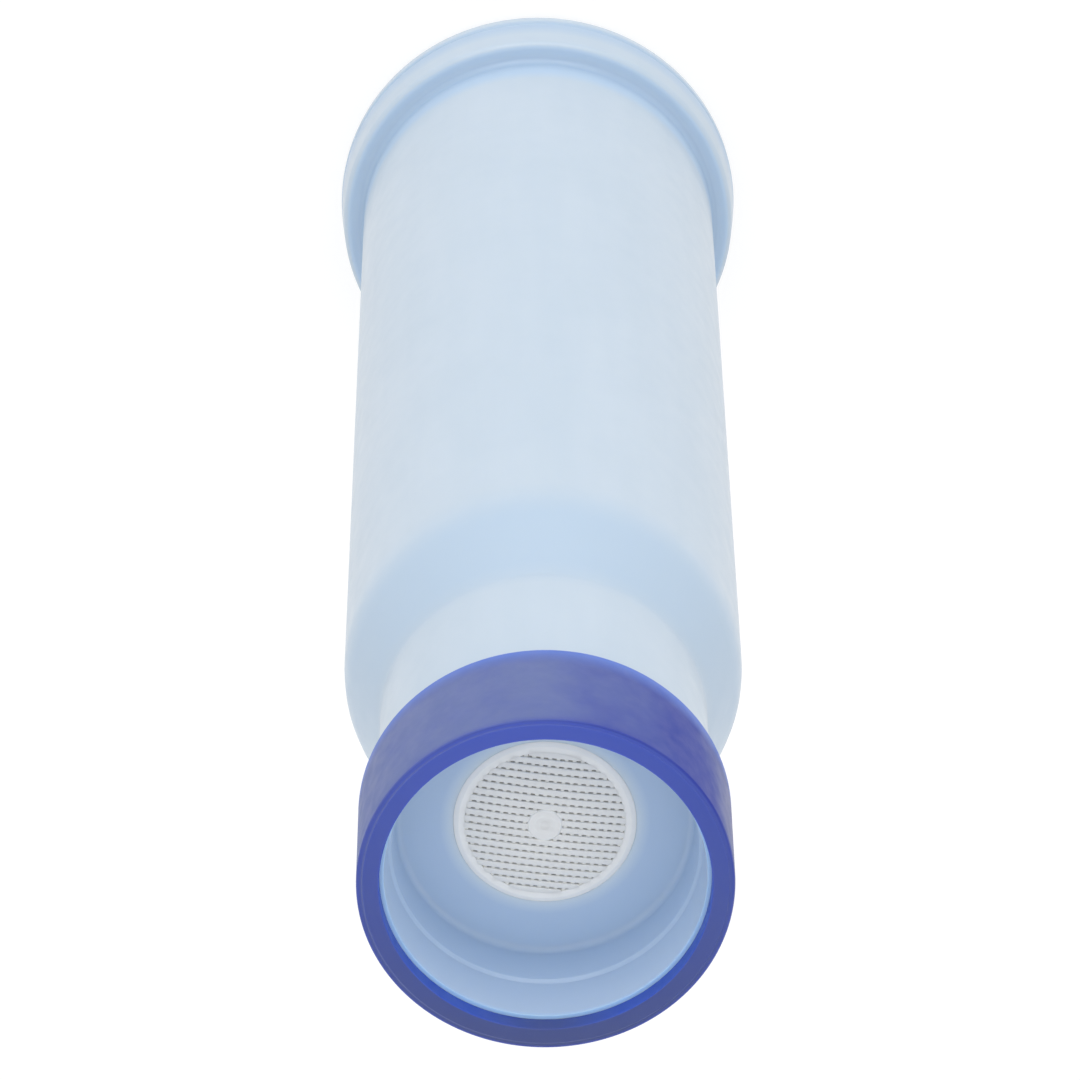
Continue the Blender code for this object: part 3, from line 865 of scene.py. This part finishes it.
def floor():
    """A pale floor that shows white in the picture and keeps the cartridge's shadow."""
    half = FLOOR_SIZE / 2
    corners = [(-half, -half, 0), (half, -half, 0), (half, half, 0), (-half, half, 0)]
    mesh = bpy.data.meshes.new("floor")
    mesh.from_pydata(corners, [], [(0, 1, 2, 3)])
    made = bpy.data.objects.new("floor", mesh)
    bpy.context.scene.collection.objects.link(made)
    paint = bpy.data.materials.new("pale floor")
    paint.use_nodes = True
    tree = paint.node_tree
    tree.nodes.clear()
    looks = []
    for colour, strength in ((FLOOR_PAINT, FLOOR_GLOW), (FLOOR_SEEN_PAINT, FLOOR_SEEN_GLOW)):
        matt = place(tree, "BsdfDiffuse", {"Color": colour})
        glow = place(tree, "Emission", {"Color": WHITE_LIGHT, "Strength": strength})
        look = place(tree, "AddShader", {0: matt.outputs[0], 1: glow.outputs[0]})
        looks.append(look.outputs[0])
    choice = place(tree, "MixShader", {0: shown(tree), 1: looks[0], 2: looks[1]})
    place(tree, "OutputMaterial", {"Surface": choice.outputs[0]})
    mesh.materials.append(paint)


def sky():
    """A white surround. The light that it sheds is strongest along SKY_AXIS.

    Where it is shown it is plain white, and darker overhead.
    """
    world = bpy.data.worlds.new("studio")
    bpy.context.scene.world = world
    world.use_nodes = True
    tree = world.node_tree
    tree.nodes.clear()
    direction = place(tree, "TexCoord").outputs["Generated"]
    height = place(tree, "SeparateXYZ", {"Vector": direction}).outputs["Z"]
    along_axis = place(tree, "VectorMath", {0: direction, 1: SKY_AXIS}, operation="DOT_PRODUCT")
    along = along_axis.outputs["Value"]
    level = spread(tree, along, SKY_DIM_ALONG, 1.0, SKY_DIM, SKY_BRIGHT)
    shed = place(tree, "Background", {"Color": WHITE_LIGHT, "Strength": level})
    level = spread(tree, height, *BACKDROP_FALL, 1.0, BACKDROP_OVERHEAD)
    backdrop = place(tree, "Background", {"Color": WHITE_LIGHT, "Strength": level})
    shaders = {0: shown(tree), 1: shed.outputs[0], 2: backdrop.outputs[0]}
    choice = place(tree, "MixShader", shaders)
    place(tree, "OutputWorld", {"Surface": choice.outputs[0]})
    world.cycles.sampling_method = "NONE"


def soft_lamp(name, where, power):
    """A wide soft lamp that faces the cartridge."""
    lamp = bpy.data.lights.new(name, "AREA")
    lamp.shape = "RECTANGLE"
    lamp.size, lamp.size_y = LAMP_SIZE
    lamp.energy = power
    made = bpy.data.objects.new(name, lamp)
    made.location = where
    made.rotation_euler = (where - LAMP_TARGET).to_track_quat("Z", "Y").to_euler()
    made.visible_camera = False
    bpy.context.scene.collection.objects.link(made)


def camera():
    """The photograph's view: from above the mouth, with the cartridge's foot at the picture's top."""
    ahead = Vector((0, math.sin(VIEW_TILT), -math.cos(VIEW_TILT)))
    level_up = Vector((0, -math.cos(VIEW_TILT), -math.sin(VIEW_TILT)))
    level_right = ahead.cross(level_up)
    up = level_up * math.cos(VIEW_ROLL) + level_right * math.sin(VIEW_ROLL)
    right = ahead.cross(up)
    across = (MOUTH_PIXEL[0] - PHOTO_PIXELS / 2) / FOCAL_PIXELS * MOUTH_DISTANCE
    down = (MOUTH_PIXEL[1] - PHOTO_PIXELS / 2) / FOCAL_PIXELS * MOUTH_DISTANCE
    mouth = Vector((0, 0, SEAL_HIGH.z))
    eye = mouth - ahead * MOUTH_DISTANCE - right * across + up * down
    attitude = Matrix((right, up, -ahead)).transposed().to_4x4()
    lens = bpy.data.cameras.new("photograph")
    lens.sensor_width = SENSOR_WIDTH
    lens.lens = FOCAL_PIXELS / PHOTO_PIXELS * SENSOR_WIDTH
    made = bpy.data.objects.new("photograph", lens)
    made.matrix_world = Matrix.Translation(eye) @ attitude
    bpy.context.scene.collection.objects.link(made)
    bpy.context.scene.camera = made


def main():
    """Sets up the view and the light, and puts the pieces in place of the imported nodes."""
    bpy.context.scene.view_settings.view_transform = "Standard"
    camera()
    sky()
    soft_lamp("key", KEY_PLACE, KEY_POWER)
    soft_lamp("fill", FILL_PLACE, FILL_POWER)
    floor()
    plastic = light_blue_polypropylene()
    moulded_housing(plastic)
    closing_cap(plastic)
    sleeve_seal(dark_blue_rubber())
    strainer("outlet_strainer", "outlet_screen", SOCKET_FLOOR, -1)
    strainer("inlet_strainer", "inlet_screen", FOOT_HEIGHT, 1)
    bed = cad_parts["filter_media"]
    bed.data.materials.clear()
    bed.data.materials.append(mixed_granules())


main()
